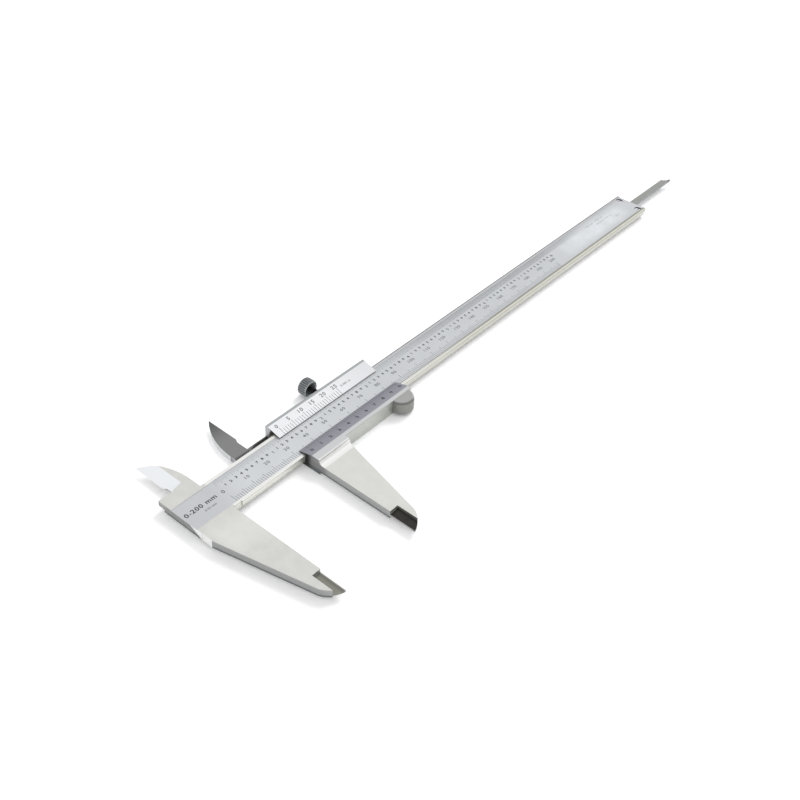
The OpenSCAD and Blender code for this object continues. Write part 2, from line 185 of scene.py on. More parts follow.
class CaliperFinishSettings(bpy.types.PropertyGroup):
    ground: bpy.props.FloatVectorProperty(
        name="Ground steel", description="Colour of the ground faces of the jaws and the head",
        default=(0.70, 0.70, 0.67), subtype="COLOR", min=0, max=1)
    channel: bpy.props.FloatVectorProperty(
        name="Scale channel", description="Colour of the satin chrome under the beam's scales",
        default=(0.605, 0.62, 0.64), subtype="COLOR", min=0, max=1)
    rail: bpy.props.FloatVectorProperty(
        name="Rails", description="Colour of the polished rails",
        default=(0.86, 0.86, 0.84), subtype="COLOR", min=0, max=1)
    side: bpy.props.FloatVectorProperty(
        name="Sides", description="Colour of the side walls",
        default=(0.30, 0.305, 0.30), subtype="COLOR", min=0, max=1)
    vernier: bpy.props.FloatVectorProperty(
        name="Inch vernier", description="Colour of the upper vernier",
        default=(0.75, 0.76, 0.78), subtype="COLOR", min=0, max=1)
    # darker than the inch vernier as a painted reflection of the low sky
    dark_vernier: bpy.props.FloatVectorProperty(
        name="Millimetre vernier", description="Colour of the lower vernier",
        default=(0.325, 0.33, 0.37), subtype="COLOR", min=0, max=1)
    bronze: bpy.props.FloatVectorProperty(
        name="Bronze", description="Colour of the gib strip, spring and pad",
        default=(0.48, 0.30, 0.12), subtype="COLOR", min=0, max=1)


class CaliperStageSettings(bpy.types.PropertyGroup):
    lens: bpy.props.FloatProperty(
        name="Lens", description="Focal length of the camera",
        default=51.083, min=20, max=200, unit="CAMERA")
    sky: bpy.props.FloatProperty(
        name="Sky", description="Strength of the even light from overhead",
        default=1.0, min=0, max=5)
    low_sky: bpy.props.FloatProperty(
        name="Low sky", description="Share of that light which comes from near the horizon",
        default=0.45, min=0, max=1)
    key: bpy.props.FloatProperty(
        name="Key light", description="Power of the large soft light",
        default=80.0, min=0, max=500, unit="POWER")
    floor: bpy.props.FloatVectorProperty(
        name="Floor", description="Colour of the floor",
        default=(0.93, 0.93, 0.94), subtype="COLOR", min=0, max=1)


# ---------------------------------------------------------------- finishes

class Wire:
    """A value's socket in a finish, so that shader maths reads as plain sums."""

    def __init__(self, finish, socket):
        self.finish, self.socket = finish, socket

    def _sum(self, operation, first, second):
        return self.finish.add("ShaderNodeMath", {"operation": operation}, {0: first, 1: second})

    def __add__(self, other):
        return self._sum("ADD", self, other)

    def __radd__(self, other):
        return self._sum("ADD", other, self)

    def __sub__(self, other):
        return self._sum("SUBTRACT", self, other)

    def __rsub__(self, other):
        return self._sum("SUBTRACT", other, self)

    def __mul__(self, other):
        return self._sum("MULTIPLY", self, other)

    def __rmul__(self, other):
        return self._sum("MULTIPLY", other, self)

    def __pow__(self, other):
        return self._sum("POWER", self, other)

    def __or__(self, other):
        """Where either mask is on: the greater of the two."""
        return self._sum("MAXIMUM", self, other)


class Finish:
    """A procedural material on the caliper's own coordinates in millimetres."""

    BUMP_DEPTH = 0.00002

    def __init__(self, name, metallic, roughness):
        self.material = bpy.data.materials.new(name)
        self.material.use_nodes = True
        self.tree = self.material.node_tree
        self.shader = self.tree.nodes["Principled BSDF"]
        self.shader.inputs["Metallic"].default_value = metallic
        self.shader.inputs["Roughness"].default_value = roughness
        coordinates = self.tree.nodes.new("ShaderNodeTexCoord")
        self.place = self.add(
            "ShaderNodeVectorMath", {"operation": "MULTIPLY_ADD"},
            {0: Wire(self, coordinates.outputs["Object"]), 1: (1 / MM,) * 3,
             2: (0.0, -CENTRE_Y / MM, -RAIL_Z / MM)})
        self.x, self.y, self.z = self.parts(self.place)
        self.nx, self.ny, self.nz = self.parts(Wire(self, coordinates.outputs["Normal"]))

    def add(self, kind, settings=None, values=None, output=0):
        """Adds a node, sets it, then gives its sockets their values or links."""
        node = self.tree.nodes.new(kind)
        for setting, value in (settings or {}).items():
            setattr(node, setting, value)
        for key, value in (values or {}).items():
            if isinstance(value, Wire):
                self.tree.links.new(value.socket, node.inputs[key])
            else:
                node.inputs[key].default_value = value
        return Wire(self, node.outputs[output])

    def parts(self, vector):
        """The three numbers of a vector."""
        split = self.add("ShaderNodeSeparateXYZ", values={0: vector}).socket.node
        return [Wire(self, socket) for socket in split.outputs]

    def past(self, value, edge, soft=0.02):
        """1 where value is above edge and 0 below it, over a soft step."""
        return self.add("ShaderNodeMapRange", {"interpolation_type": "SMOOTHSTEP"},
                        {0: value, 1: edge - soft, 2: edge + soft, 3: 0.0, 4: 1.0})

    def before(self, value, edge, soft=0.02):
        """1 where value is below edge and 0 above it."""
        return 1 - self.past(value, edge, soft)

    def within(self, value, low, high, soft=0.02):
        """1 where value lies between low and high."""
        return self.past(value, low, soft) * self.before(value, high, soft)

    def noise(self, scale, detail=3.0, stretch=(1, 1, 1)):
        """Soft noise round one half, drawn out along the axes where stretch is small."""
        spread = self.add("ShaderNodeVectorMath", {"operation": "MULTIPLY"},
                          {0: self.place, 1: stretch})
        return self.add("ShaderNodeTexNoise", values={
            "Vector": spread, "Scale": scale, "Detail": detail, "Roughness": 0.6})

    def mix(self, mask, low, high):
        """A colour that goes from low to high as mask goes from 0 to 1."""
        colours = {6: low, 7: high}
        for key, value in colours.items():
            if not isinstance(value, Wire):
                colours[key] = (*tuple(value)[:3], 1.0)
        return self.add("ShaderNodeMix", {"data_type": "RGBA"}, {0: mask, **colours}, output=2)

    def coats(self, colour, *coats):
        """Lays colours over a first one, each where its own mask says."""
        for mask, tint in coats:
            colour = self.mix(mask, colour, tint)
        return colour

    def tone(self, colour, pattern, depth):
        """Makes a colour lighter and darker by a pattern round one half."""
        level = (pattern - 0.5) * depth + 1.0
        grey = self.add("ShaderNodeCombineColor", values={0: level, 1: level, 2: level})
        return self.add("ShaderNodeMix", {"data_type": "RGBA", "blend_type": "MULTIPLY"},
                        {0: 1.0, 6: colour, 7: grey}, output=2)

    def bump(self, height, strength):
        self.link(self.add("ShaderNodeBump", values={
            "Strength": strength, "Distance": self.BUMP_DEPTH, "Height": height}), "Normal")

    def link(self, wire, socket):
        self.tree.links.new(wire.socket, self.shader.inputs[socket])


def ground_steel(finish, colour, low, high):
    """Surface-ground steel: its colour, its mottling and its fine grinding lines."""
    mottle = finish.noise(0.22, 5.0)
    lines = finish.noise(1.0, 3.0, (0.35, 7.0, 0.35))
    shade = finish.mix(mottle, shaded(colour, low), shaded(colour, high))
    return finish.tone(shade, lines, 0.05), mottle, lines


def brushed(finish, length=5.0, breadth=0.3):
    """Satin brushing across the beam."""
    return finish.noise(1.0, 2.0, (length, breadth, 1.0))


def wall_streaks(finish):
    """Upright streaks on a milled wall."""
    return finish.noise(1.0, 3.0, (6.0, 6.0, 0.5))


def worn_edges(finish, wall):
    """Painted highlight along a wall's top edge and painted shade at its foot."""
    return finish.coats(wall,
                        (finish.past(finish.z, -0.3, 0.3) * 0.12, EDGE_HIGHLIGHT),
                        (finish.before(finish.z, -2.7, 0.3) * 0.9, FOOT_SHADE))


def beam_channel(finish, colour, across):
    """Satin channel under the scales: an inch band, a lighter smudged patch far out, painted shade
    along its lower edge.
    """
    x, y = finish.x, finish.y
    band = finish.within(y, 3.85, RAIL_IN, 0.05) * finish.past(x, 2.4, 0.05)
    band = band * finish.before(x, 228, 12)
    band_tint = finish.mix(finish.past(x, FAR_X, FAR_SOFT),
                           shaded(colour, 1.04), shaded(colour, 0.76))
    lighter_patch = finish.within(x, 215, 266, 12) * finish.within(y, -4.5, 4.0, 2.5)
    smudge = finish.noise(0.11, 4.0)
    satin = finish.coats(colour,
                         (finish.past(x, 4, 6), shaded(colour, 1.13)),
                         (finish.past(x, 70, 30), shaded(colour, 1.07)),
                         (band * 0.7, band_tint),
                         (lighter_patch * (0.3 + smudge), shaded(colour, 1.37)))
    satin = finish.tone(finish.tone(satin, across, 0.07), smudge, 0.14)
    # painted shade along the channel's lower edge, where the rail's step shades it
    step_shade = finish.within(y, -RAIL_IN, -RAIL_IN + 0.12, 0.04) * finish.past(x, 60, 60)
    return finish.mix(step_shade * 0.6, satin, STEP_SHADE)


def beam_rails(finish, look, lines):
    """Rails: lighter near the jaws, painted darker further out as a dimmer reflection, with a
    painted highlight on the lower rail's outer edge, painted shade along its inner step and a dark
    corner.
    """
    x, y = finish.x, finish.y
    # far out both rails are painted darker as a dimmer reflection, the lower one with a painted
    # highlight on its outer edge
    far_rail = finish.mix(finish.before(y, -BEAM_HALF + 0.5, 0.15), FAR_RAIL_REFLECTION, RAIL_EDGE_HIGHLIGHT)
    upper = finish.past(y, 0.0) * finish.past(x, 70, 30)
    # painted shade along the lower rail's inner step
    inner_step_shade = finish.within(y, -RAIL_IN - 0.25, -RAIL_IN, 0.05) * finish.past(x, 45, 35)
    corner = finish.past(y, BEAM_HALF - 0.42, 0.1) * finish.past(x, 40, 30)
    rail = finish.coats(look.rail,
                        (finish.past(x, 108, 50), far_rail),
                        (upper, shaded(look.channel, 0.92)),
                        (inner_step_shade * 0.85, RAIL_STEP_SHADE),
                        (corner, shaded(look.side, 0.6)))
    return finish.tone(rail, lines, 0.08)


def beam_walls(finish, side):
    """Walls: painted shade on the head and the back of the jaw and painted light along the beam, by
    the way each faces, lighter near the head than far out.
    """
    x, y, z = finish.x, finish.y, finish.z
    drawn = finish.noise(1.0, 3.0, (0.06, 1.0, 5.0))
    near, far = finish.mix(drawn, *NEAR_SIDE), finish.mix(drawn, *FAR_SIDE)
    upper_third = finish.within(z, -1.3, -0.1, 0.2) * finish.past(x, FAR_X, FAR_SOFT)
    # darker bands along the long side, its top third darker far out, the lowest band a painted
    # shade at its foot
    long_side = finish.coats(finish.mix(finish.past(x, 65, 45), near, far),
                             (finish.within(z, -0.55, -0.2, 0.1) * 0.6, OLIVE),
                             (upper_third * 0.55, OLIVE),
                             (finish.within(z, -2.2, -1.9, 0.12) * 0.35, OLIVE),
                             (finish.before(z, -2.9, 0.2) * 0.65, OLIVE))
    # jaw walls lighter towards the tip, the inside jaw's walls darker as painted shade under its
    # slanted flat
    jaw_wall = finish.coats(side,
                            (finish.before(y, -13.0, 1.0), shaded(side, 1.22)),
                            (finish.past(y, 12.5, 0.3), shaded(side, 0.6)))
    # painted highlight on the facet at the head's corner, running out in a thin wedge up the head
    facet = finish.before(y, -8.6, 0.9) * finish.past(y, -13.65, 0.03)
    facet = facet * finish.before(x, -15.5, 0.03)
    wedge = finish.past(z + (y + 2.5) * -0.55, 0.0, 0.05)
    wedge = wedge * finish.before(x, -14.0, 0.5) * finish.past(y, -8.8, 0.1)
    wall = finish.coats(worn_edges(finish, jaw_wall),
                        (finish.past(x, 0.4, 0.1), long_side),
                        (facet | wedge, CORNER_HIGHLIGHT))
    groove = finish.within(y, -RAIL_IN - 0.05, RAIL_IN + 0.05) * finish.past(z, CHANNEL_Z)
    return finish.mix(groove, finish.tone(wall, wall_streaks(finish), 0.16), GROOVE_WALL)


def beam_finish(look):
    finish = Finish("beam_steel", 0.72, 0.4)
    x, y, z, nz = finish.x, finish.y, finish.z, finish.nz
    up = finish.past(nz, 0.9, 0.05)
    ground, mottle, lines = ground_steel(finish, look.ground, 0.83, 1.10)
    # the ground face lighter towards the jaw's root
    root = finish.within(y, -24, -11, 5) * finish.past(x, -14, 3)
    ground = finish.mix(root * 0.35, ground, LIGHTER_ROOT)
    across = brushed(finish)
    in_channel = finish.within(y, -RAIL_IN, RAIL_IN) * finish.before(z, -0.12) * up
    in_channel = in_channel * finish.past(z, CHANNEL_Z - 0.1)
    on_rail = finish.past(x, 0.6, 0.5) * finish.within(y, -8.4, 8.4) * up
    top = finish.coats(ground,
                       (on_rail, beam_rails(finish, look, lines)),
                       (in_channel, beam_channel(finish, look.channel, across)))
    # slanted flat of the fixed inside jaw, painted bright as a reflection
    flat = finish.past(y, 13.0, 0.1) * finish.before(nz, 0.97, 0.01) * finish.past(nz, 0.5, 0.1)
    # lapped blade at the jaw's tip, painted dark as the reflection in its polish, with a painted
    # highlight along its measuring edge
    blade = finish.before(y, BLADE_TOP - 0.05) * finish.past(x, -BLADE_W)
    blade = blade * finish.before(z, BLADE_Z)
    lapped_reflection = finish.tone(finish.mix(finish.past(x, -1.2, 1.2), *FIXED_BLADE_REFLECTION), lines, 0.3)
    lapped_reflection = finish.mix(finish.past(x, -0.45, 0.15), lapped_reflection, BLADE_EDGE_HIGHLIGHT)
    # shadowed recesses round the end stop screws
    recess = finish.within(x, *RECESS_X) * finish.within(z, *RECESS_Z)
    recess = recess * finish.within(y, -RAIL_IN, RAIL_IN)
    finish.link(finish.coats(beam_walls(finish, look.side),
                             (up, top),
                             (finish.before(nz, -0.5, 0.1), ground),
                             (flat, FLAT_REFLECTION),
                             (blade, lapped_reflection),
                             (recess, RECESS)), "Base Color")
    finish.link(0.30 + 0.16 * in_channel + 0.16 * mottle, "Roughness")
    finish.bump((lines + 0.7 * across * in_channel) * (1 - flat), 0.12)
    return finish.material


def slider_walls(finish, side):
    """Walls: painted shade where they face the head, near black as painted shadow next to the beam,
    greenish grey along the lower side.
    """
    x, y = finish.x, finish.y
    facing = finish.before(finish.nx, -0.75, 0.15)
    end = facing * finish.within(y, -18.0, 13.0, 1.5)
    jaw_wall = finish.mix(end, shaded(side, 1.3), shaded(side, 0.85))
    back = finish.before(finish.nx, 0.2, 0.2) * finish.past(y, 13.0)
    wall = finish.coats(SLIDER_SIDE,
                        (facing, worn_edges(finish, jaw_wall)),
                        # painted shadow on the end wall next to the beam
                        (end * finish.past(y, -10.2, 1.3), END_SHADOW),
                        (end * finish.past(y, 9.8, 0.5), UPPER_END),
                        (back * finish.before(x, SLIDE_X - 0.2), WING_BACK))
    return finish.tone(finish.tone(wall, wall_streaks(finish), 0.14), finish.noise(0.8, 4.0), 0.12)


def slider_finish(look):
    finish = Finish("slider_steel", 0.72, 0.4)
    x, y, z, nz = finish.x, finish.y, finish.z, finish.nz
    up = finish.past(nz, 0.9, 0.05)
    ground, mottle, lines = ground_steel(finish, look.ground, 0.93, 1.11)
    on_bar = finish.past(x, SLIDE_X - 0.02)
    on_vernier = up * on_bar * finish.past(z, VERNIER_Z - 0.1)
    upper = finish.within(y, UPPER_IN - 0.1, UPPER_OUT) * on_vernier
    lower = finish.within(y, LOWER_OUT, LOWER_IN + 0.1) * on_vernier
    satin = finish.tone(finish.mix(finish.past(x, SLIDE_X + 42, 14),
                                   shaded(look.vernier, 1.13), look.vernier),
                        brushed(finish), 0.05)
    # the millimetre vernier painted dark, as the reflection of the low sky in its tilted face
    lower_reflection = finish.tone(finish.mix(finish.past(y, -8.0, 3.5),
                                   shaded(look.dark_vernier, 1.12),
                                   shaded(look.dark_vernier, 0.93)),
                        brushed(finish, 6.0, 0.4), 0.12)
    land = finish.past(y, UPPER_OUT - 0.55) * up * finish.past(z, 1.7)
    strip = finish.within(y, JAW_ROOT, LOWER_OUT) * up * finish.past(z, 1.8)
    # the hollow fillet at the jaw's root and the face beside it catch the light
    fillet = finish.within(y, JAW_ROOT - 1.85, JAW_ROOT) * finish.past(nz, 0.2, 0.1)
    fillet = fillet * finish.past(z, 0.02, 0.05) * on_bar
    brow = finish.within(y, JAW_ROOT - 2.8, JAW_ROOT + 0.5, 0.4) * up
    brow = brow * finish.before(x, SLIDE_X + 17.5, 0.5) * on_bar
    # lapped blade at the jaw's tip, painted near black and mottled as shadow
    blade = finish.before(y, BLADE_TOP - 0.05) * finish.before(x, SLIDE_X + BLADE_W)
    blade = blade * finish.before(z, BLADE_Z) * finish.past(nz, 0.3, 0.2)
    blade_shadow = finish.mix(finish.noise(0.5, 4.0), *SLIDING_BLADE_SHADOW)
    # lapped inside jaw painted dark as the reflection in its polish, on its stem painted black as
    # shadow
    inside = finish.before(x, SLIDE_X + 0.1) * finish.past(y, 7.0, 0.1)
    inside = inside * finish.before(z, -1.9) * up
    lapped_reflection = finish.tone(finish.mix(finish.past(y, 26.5, 7.0), *INSIDE_JAW_REFLECTION), lines, 0.12)
    stem_shadow = finish.before(y - 1.7 * finish.past(x, SLIDE_X - 8, 3), 10.6, 0.9)
    finish.link(finish.coats(slider_walls(finish, look.side),
                             (up, ground),
                             (finish.before(nz, -0.5, 0.1), ground),
                             (strip, ROOT_STRIP),
                             (upper, satin),
                             (land, VERNIER_LAND),
                             (lower, lower_reflection),
                             (fillet | 0.8 * brow, BRIGHT_LINE),
                             (blade, blade_shadow),
                             (inside, finish.mix(stem_shadow, lapped_reflection, STEM_SHADOW))), "Base Color")
    finish.link(0.30 + 0.12 * mottle + 0.1 * lower, "Roughness")
    finish.bump(lines, 0.1)
    return finish.material


def plain_finish(name, colour, roughness, metallic=0.85, scale=2.0, stretch=(1, 1, 1)):
    """Bare metal with a fine grain and slight stains."""
    finish = Finish(name, metallic, roughness)
    grain = finish.noise(scale, 4.0, stretch)
    stain = finish.noise(0.35, 3.0)
    shade = finish.mix(stain, shaded(colour, 0.93), shaded(colour, 1.07))
    finish.link(finish.tone(finish.tone(shade, grain, 0.2), stain, 0.1), "Base Color")
    finish.link(roughness - 0.06 + 0.14 * grain, "Roughness")
    finish.bump(grain, 0.1)
    return finish.material


def rod_finish():
    """Drawn steel with long scratches, painted shade on the faces that don't face up, darker on the
    relieved nose.
    """
    finish = Finish("rod_steel", 0.8, 0.35)
    drawn = finish.noise(1.0, 4.0, (0.15, 8.0, 8.0))
    stain = finish.noise(0.3, 3.0)
    colour = finish.coats(finish.mix(stain, (0.33, 0.34, 0.32), (0.42, 0.43, 0.41)),
                          # painted shade on the faces that don't face up
                          (finish.before(finish.nz, 0.5, 0.2), (0.27, 0.275, 0.28)),
                          (finish.past(finish.x, ROD_END - 1.6, 1.2), (0.10, 0.10, 0.095)))
    finish.link(finish.tone(colour, drawn, 0.25), "Base Color")
    finish.link(0.26 + 0.2 * drawn, "Roughness")
    finish.bump(drawn, 0.15)
    return finish.material


def thumb_finish():
    """Barrel-finished rest: grey on top, with painted shade on its sides and a rim painted as a
    highlight towards the beam and as shade on the near side.
    """
    finish = Finish("thumb_steel", 0.8, 0.4)
    grain = finish.noise(3.0, 4.0)
    stain = finish.noise(0.5, 3.0)
    rim = finish.within(finish.nz, 0.25, 0.93, 0.12)
    far = finish.past(finish.nx + finish.ny, -0.2, 0.4)
    colour = finish.coats(finish.mix(stain, (0.36, 0.36, 0.35), (0.44, 0.44, 0.43)),
                          # painted shade on the sides, then the rim's painted highlight towards the
                          # beam and painted shade on its near side
                          (finish.before(finish.nz, 0.2, 0.1), (0.26, 0.26, 0.245)),
                          (rim * (0.55 + 0.45 * stain),
                           finish.mix(far, (0.14, 0.14, 0.135), RIM_HIGHLIGHT)))
    finish.link(finish.tone(colour, grain, 0.15), "Base Color")
    finish.link(0.42 - 0.14 * rim + 0.1 * grain, "Roughness")
    finish.bump(grain, 0.15)
    return finish.material


def oxide_finish(colour):
    """Blackened steel, the tops of its ridges worn bright and painted as highlights, with painted
    highlights on its rims and painted shade on its near face.
    """
    finish = Finish("black_oxide", 0.75, 0.38)
    low, high = KNOB_BOX
    radius = (high.x - low.x) / 2 / MM
    out_x = finish.x - (low.x + high.x) / 2 / MM
    out_z = finish.z - ((low.z + high.z) / 2 - RAIL_Z) / MM
    from_axis = (out_x * out_x + out_z * out_z) ** 0.5
    grain = finish.noise(3.0, 4.0)
    crest = finish.past(from_axis, radius - 0.1, 0.1)
    valley = (finish.before(from_axis, radius - 0.27, 0.08)
              * finish.past(from_axis, radius - 0.45, 0.05))
    # painted shade on the near face, painted highlights on the rims round it
    face = finish.before(finish.ny, -0.6, 0.2)
    rim = finish.within(finish.ny, -0.92, -0.45, 0.05)
    tint = finish.coats(colour,
                        (face, shaded(colour, 0.16)),
                        (valley * face, shaded(colour, 0.12)),
                        (crest * (0.35 + 0.65 * grain), shaded(colour, 2.8)),
                        (rim * (0.3 + grain), shaded(colour, 4.2)))
    finish.link(finish.tone(tint, grain, 0.3), "Base Color")
    finish.link(0.32 + 0.16 * grain, "Roughness")
    finish.bump(grain, 0.1)
    return finish.material


def ink_finish(name, colour):
    """Matt ink with slight wear."""
    finish = Finish(name, 0.0, 0.7)
    wear = finish.noise(2.0, 3.0)
    finish.link(finish.tone(finish.mix(wear, colour, shaded(colour, 1.4)), wear, 0.3), "Base Color")
    finish.link(0.6 + 0.2 * wear, "Roughness")
    return finish.material


def floor_finish(colour):
    """Matt pale floor that glows a little."""
    finish = Finish("floor_white", 0.0, 0.9)
    grain = finish.noise(0.02, 2.0)
    finish.link(finish.mix(grain, colour, shaded(colour, 0.99)), "Base Color")
    finish.shader.inputs["Emission Color"].default_value = (1, 1, 1, 1)
    finish.shader.inputs["Emission Strength"].default_value = FLOOR_GLOW
    return finish.material


def dress(name, material):
    """Gives a CAD node or a piece its finish."""
    data = bpy.data.objects[name].data
    data.materials.clear()
    data.materials.append(material)


# ---------------------------------------------------------------- modelling

def only(*pieces):
    """Selects just these pieces, the first one active."""
    bpy.ops.object.select_all(action="DESELECT")
    for piece in pieces:
        piece.select_set(True)
    bpy.context.view_layer.objects.active = pieces[0]


def settle(piece, name, matrix=None):
    """Moves a piece to its place and writes that place into its mesh."""
    if matrix is not None:
        piece.matrix_world = matrix @ piece.matrix_world
    only(piece)
    bpy.ops.object.transform_apply(location=True, rotation=True, scale=True)
    piece.name = piece.data.name = name
    return piece


def joined(pieces, name):
    """Makes several pieces one."""
    only(*pieces)
    bpy.ops.object.join()
    return settle(bpy.context.view_layer.objects.active, name)


def repeated(piece, count, step, merge=0.0):
    """Copies a piece in a row, and welds the copies where merge is given."""
    row = piece.modifiers.new("row", "ARRAY")
    row.count, row.use_relative_offset, row.use_constant_offset = count, False, True
    row.constant_offset_displace = step
    if merge:
        row.use_merge_vertices, row.merge_threshold = True, merge
    only(piece)
    bpy.ops.object.modifier_apply(modifier="row")
    return piece


def pick(piece, wanted):
    """Selects the faces that are wanted, ready for edit mode."""
    only(piece)
    bpy.ops.object.mode_set(mode="EDIT")
    bpy.ops.mesh.select_mode(type="FACE")
    bpy.ops.mesh.select_all(action="DESELECT")
    bpy.ops.object.mode_set(mode="OBJECT")
    for face in piece.data.polygons:
        face.select = wanted(face)


def stroke(x, y, length, width, proud):
    """One engraved line's ink across the scale: a bar with a narrowed top, sizes in mm."""
    narrowed = 0.8
    bpy.ops.object.select_all(action="DESELECT")
    bpy.ops.mesh.primitive_cube_add(size=1, location=(x, y + length / 2, 0),
                                    scale=(width, length, 2 * proud))
    bar = bpy.context.view_layer.objects.active
    bpy.ops.object.transform_apply(location=True, rotation=True, scale=True)
    pick(bar, lambda face: face.normal.z > 0.5)
    bpy.ops.object.mode_set(mode="EDIT")
    bpy.ops.transform.resize(value=(narrowed, 1, 1))
    bpy.ops.object.mode_set(mode="OBJECT")
    return bar


def ladder(count, pitch, start, y, steps, width, proud):
    """Rows of lines along X: steps lists (every, from, to) along Y, away from y."""
    return [repeated(stroke(start, y + min(low, high), abs(high - low), width, proud),
                     (count - 1) // every + 1, (pitch * every, 0, 0))
            for every, low, high in steps]


def numeral(text, x, y, height, proud, weight=0.012):
    """One label, centred at x and y, sizes in mm; weight thickens its strokes."""
    # height of the built-in capitals, and how far letters are widened and set apart
    cap_height, wide, apart = 0.70, 1.15, 1.12
    bpy.ops.object.select_all(action="DESELECT")
    bpy.ops.object.text_add(location=(0, 0, 0))
    label = bpy.context.view_layer.objects.active
    label.data.body = text
    label.data.align_x, label.data.align_y = "CENTER", "CENTER"
    label.data.size = height / cap_height
    label.data.resolution_u = 2
    label.data.extrude = proud
    label.data.offset = weight
    label.data.space_character = apart
    only(label)
    bpy.ops.object.convert(target="MESH")
    label = bpy.context.view_layer.objects.active
    label.location, label.scale = (x, y, 0), (wide, 1, 1)
    bpy.ops.object.transform_apply(location=True, rotation=True, scale=True)
    return label


def plane_of(z, inner=0.0, tilt=0.0):
    """The matrix that lays millimetre marks on a face of the caliper, tilted about X."""
    return (Matrix.Translation(at(0, inner, z)) @ Matrix.Rotation(tilt, 4, "X")
            @ Matrix.Scale(MM, 4))


def lay(pieces, name, body, matrix, material):
    """Joins marks, lays them on their face and lets them ride on its body."""
    mark = settle(joined(pieces, name), name, matrix)
    dress(name, material)
    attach(mark, body)


# ---------------------------------------------------------------- operators

class CALIPER_OT_beam_scales(bpy.types.Operator):
    """Marks the millimetre and the inch scale on the beam"""
    bl_idname = "caliper.beam_scales"
    bl_label = "Beam Scales"

    def execute(self, context):
        size = context.scene.caliper_scale
        width, proud, tall = size.line / MM, size.proud / MM, size.numeral / MM
        ink = ink_finish("scale_ink", size.ink)
        line_ink = ink_finish("line_ink", size.line_ink)
        channel = plane_of(CHANNEL_Z)
        edge = RAIL_IN - 0.05
        lines = ladder(201, 1.0, ZERO, -edge, [(1, 0, 2.4), (5, 2.4, 3.2), (10, 3.2, 3.7)],
                       width, proud)
        lay(lines, "beam_mm_lines", "beam", channel, line_ink)
        lines = ladder(8 * 40 + 1, INCH / 40, ZERO, edge,
                       [(1, 0, -1.5), (2, -1.5, -1.9), (4, -1.9, -2.7)], width * 0.7, proud)
        lay(lines, "beam_inch_lines", "beam", channel,
            ink_finish("pale_ink", shaded(size.line_ink, 3.0)))
        labels = []
        for mark in range(10, 201, 10):
            shift = 0.48 if mark > 99 else 0.0
            labels.append(numeral(str(mark), ZERO + mark + shift, -0.5, tall * 1.05, proud, 0.03))
        lay(labels, "beam_mm_numerals", "beam", channel,
            ink_finish("grey_ink", shaded(size.line_ink, 1.8)))
        labels = [numeral("0", ZERO - 0.46, 0.3, tall * 1.2, proud)]
        for step in range(1, 81):
            place = ZERO + step * INCH / 10
            if step % 10:
                labels.append(numeral(str(step % 10), place, 2.25, tall * 0.82, proud, 0.05))
            else:
                labels.append(numeral(str(step // 10), place, 1.75, tall, proud))
        lay(labels, "beam_inch_numerals", "beam", channel, ink)
        return {"FINISHED"}


class CALIPER_OT_head_mark(bpy.types.Operator):
    """Marks the measuring range on the head and plain notes near the beam's end"""
    bl_idname = "caliper.head_mark"
    bl_label = "Head Mark"

    def execute(self, context):
        proud = context.scene.caliper_scale.proud / MM
        channel = plane_of(CHANNEL_Z)
        words = [numeral("0-200 mm", -7.4, 0.75, 1.9, proud, 0.05),
                 numeral("0.02 mm", -5.2, -2.0, 0.8, proud)]
        lay(words, "head_mark", "beam", channel, bpy.data.materials["scale_ink"])
        words = [numeral("0.02 mm", 240.5, 3.6, 1.0, proud),
                 numeral("0.001 in", 248.5, 3.6, 1.0, proud),
                 numeral("200 mm = 7.874 in", 250.0, 1.4, 0.9, proud),
                 numeral("20 C", 258.5, -1.2, 1.0, proud)]
        lay(words, "end_mark", "beam", channel, ink_finish("faint_ink", (0.30, 0.31, 0.33)))
        return {"FINISHED"}


class CALIPER_OT_vernier_marks(bpy.types.Operator):
    """Marks the millimetre and the inch vernier on the slider"""
    bl_idname = "caliper.vernier_marks"
    bl_label = "Vernier Marks"

    def execute(self, context):
        size = context.scene.caliper_scale
        width, proud, tall = size.line / MM, size.proud / MM, size.numeral / MM
        ink, line_ink = bpy.data.materials["scale_ink"], bpy.data.materials["line_ink"]
        start = SLIDE_X + ZERO
        lower = plane_of(VERNIER_Z, LOWER_IN, -LOWER_TILT)
        division = 49 / 50
        lines = ladder(51, division, start, -0.05, [(1, 0, -1.6), (5, -1.6, -2.2)], width, proud)
        lay(lines, "mm_vernier_lines", "slide", lower, line_ink)
        labels = [numeral(str(step % 10), start + step * 5 * division - 0.2, -3.9, tall * 1.1,
                          proud, 0.06) for step in range(11)]
        lay(labels, "mm_vernier_numerals", "slide", lower, ink)
        upper = plane_of(VERNIER_Z, UPPER_IN, UPPER_TILT)
        division = 49 * INCH / 40 / 25
        lines = ladder(26, division, start, 0.05, [(1, 0, 2.5), (5, 2.5, 3.3)], width, proud)
        lay(lines, "inch_vernier_lines", "slide", upper, ink)
        labels = [numeral(str(step * 5), start + step * 5 * division - 0.35, 4.4, tall * 1.2,
                          proud) for step in range(6)]
        lay(labels, "inch_vernier_numerals", "slide", upper, ink)
        labels = [numeral("0.001 in", start + 36.0, 3.1, tall * 0.66, proud)]
        lay(labels, "unit_mark", "slide", upper, line_ink)
        return {"FINISHED"}


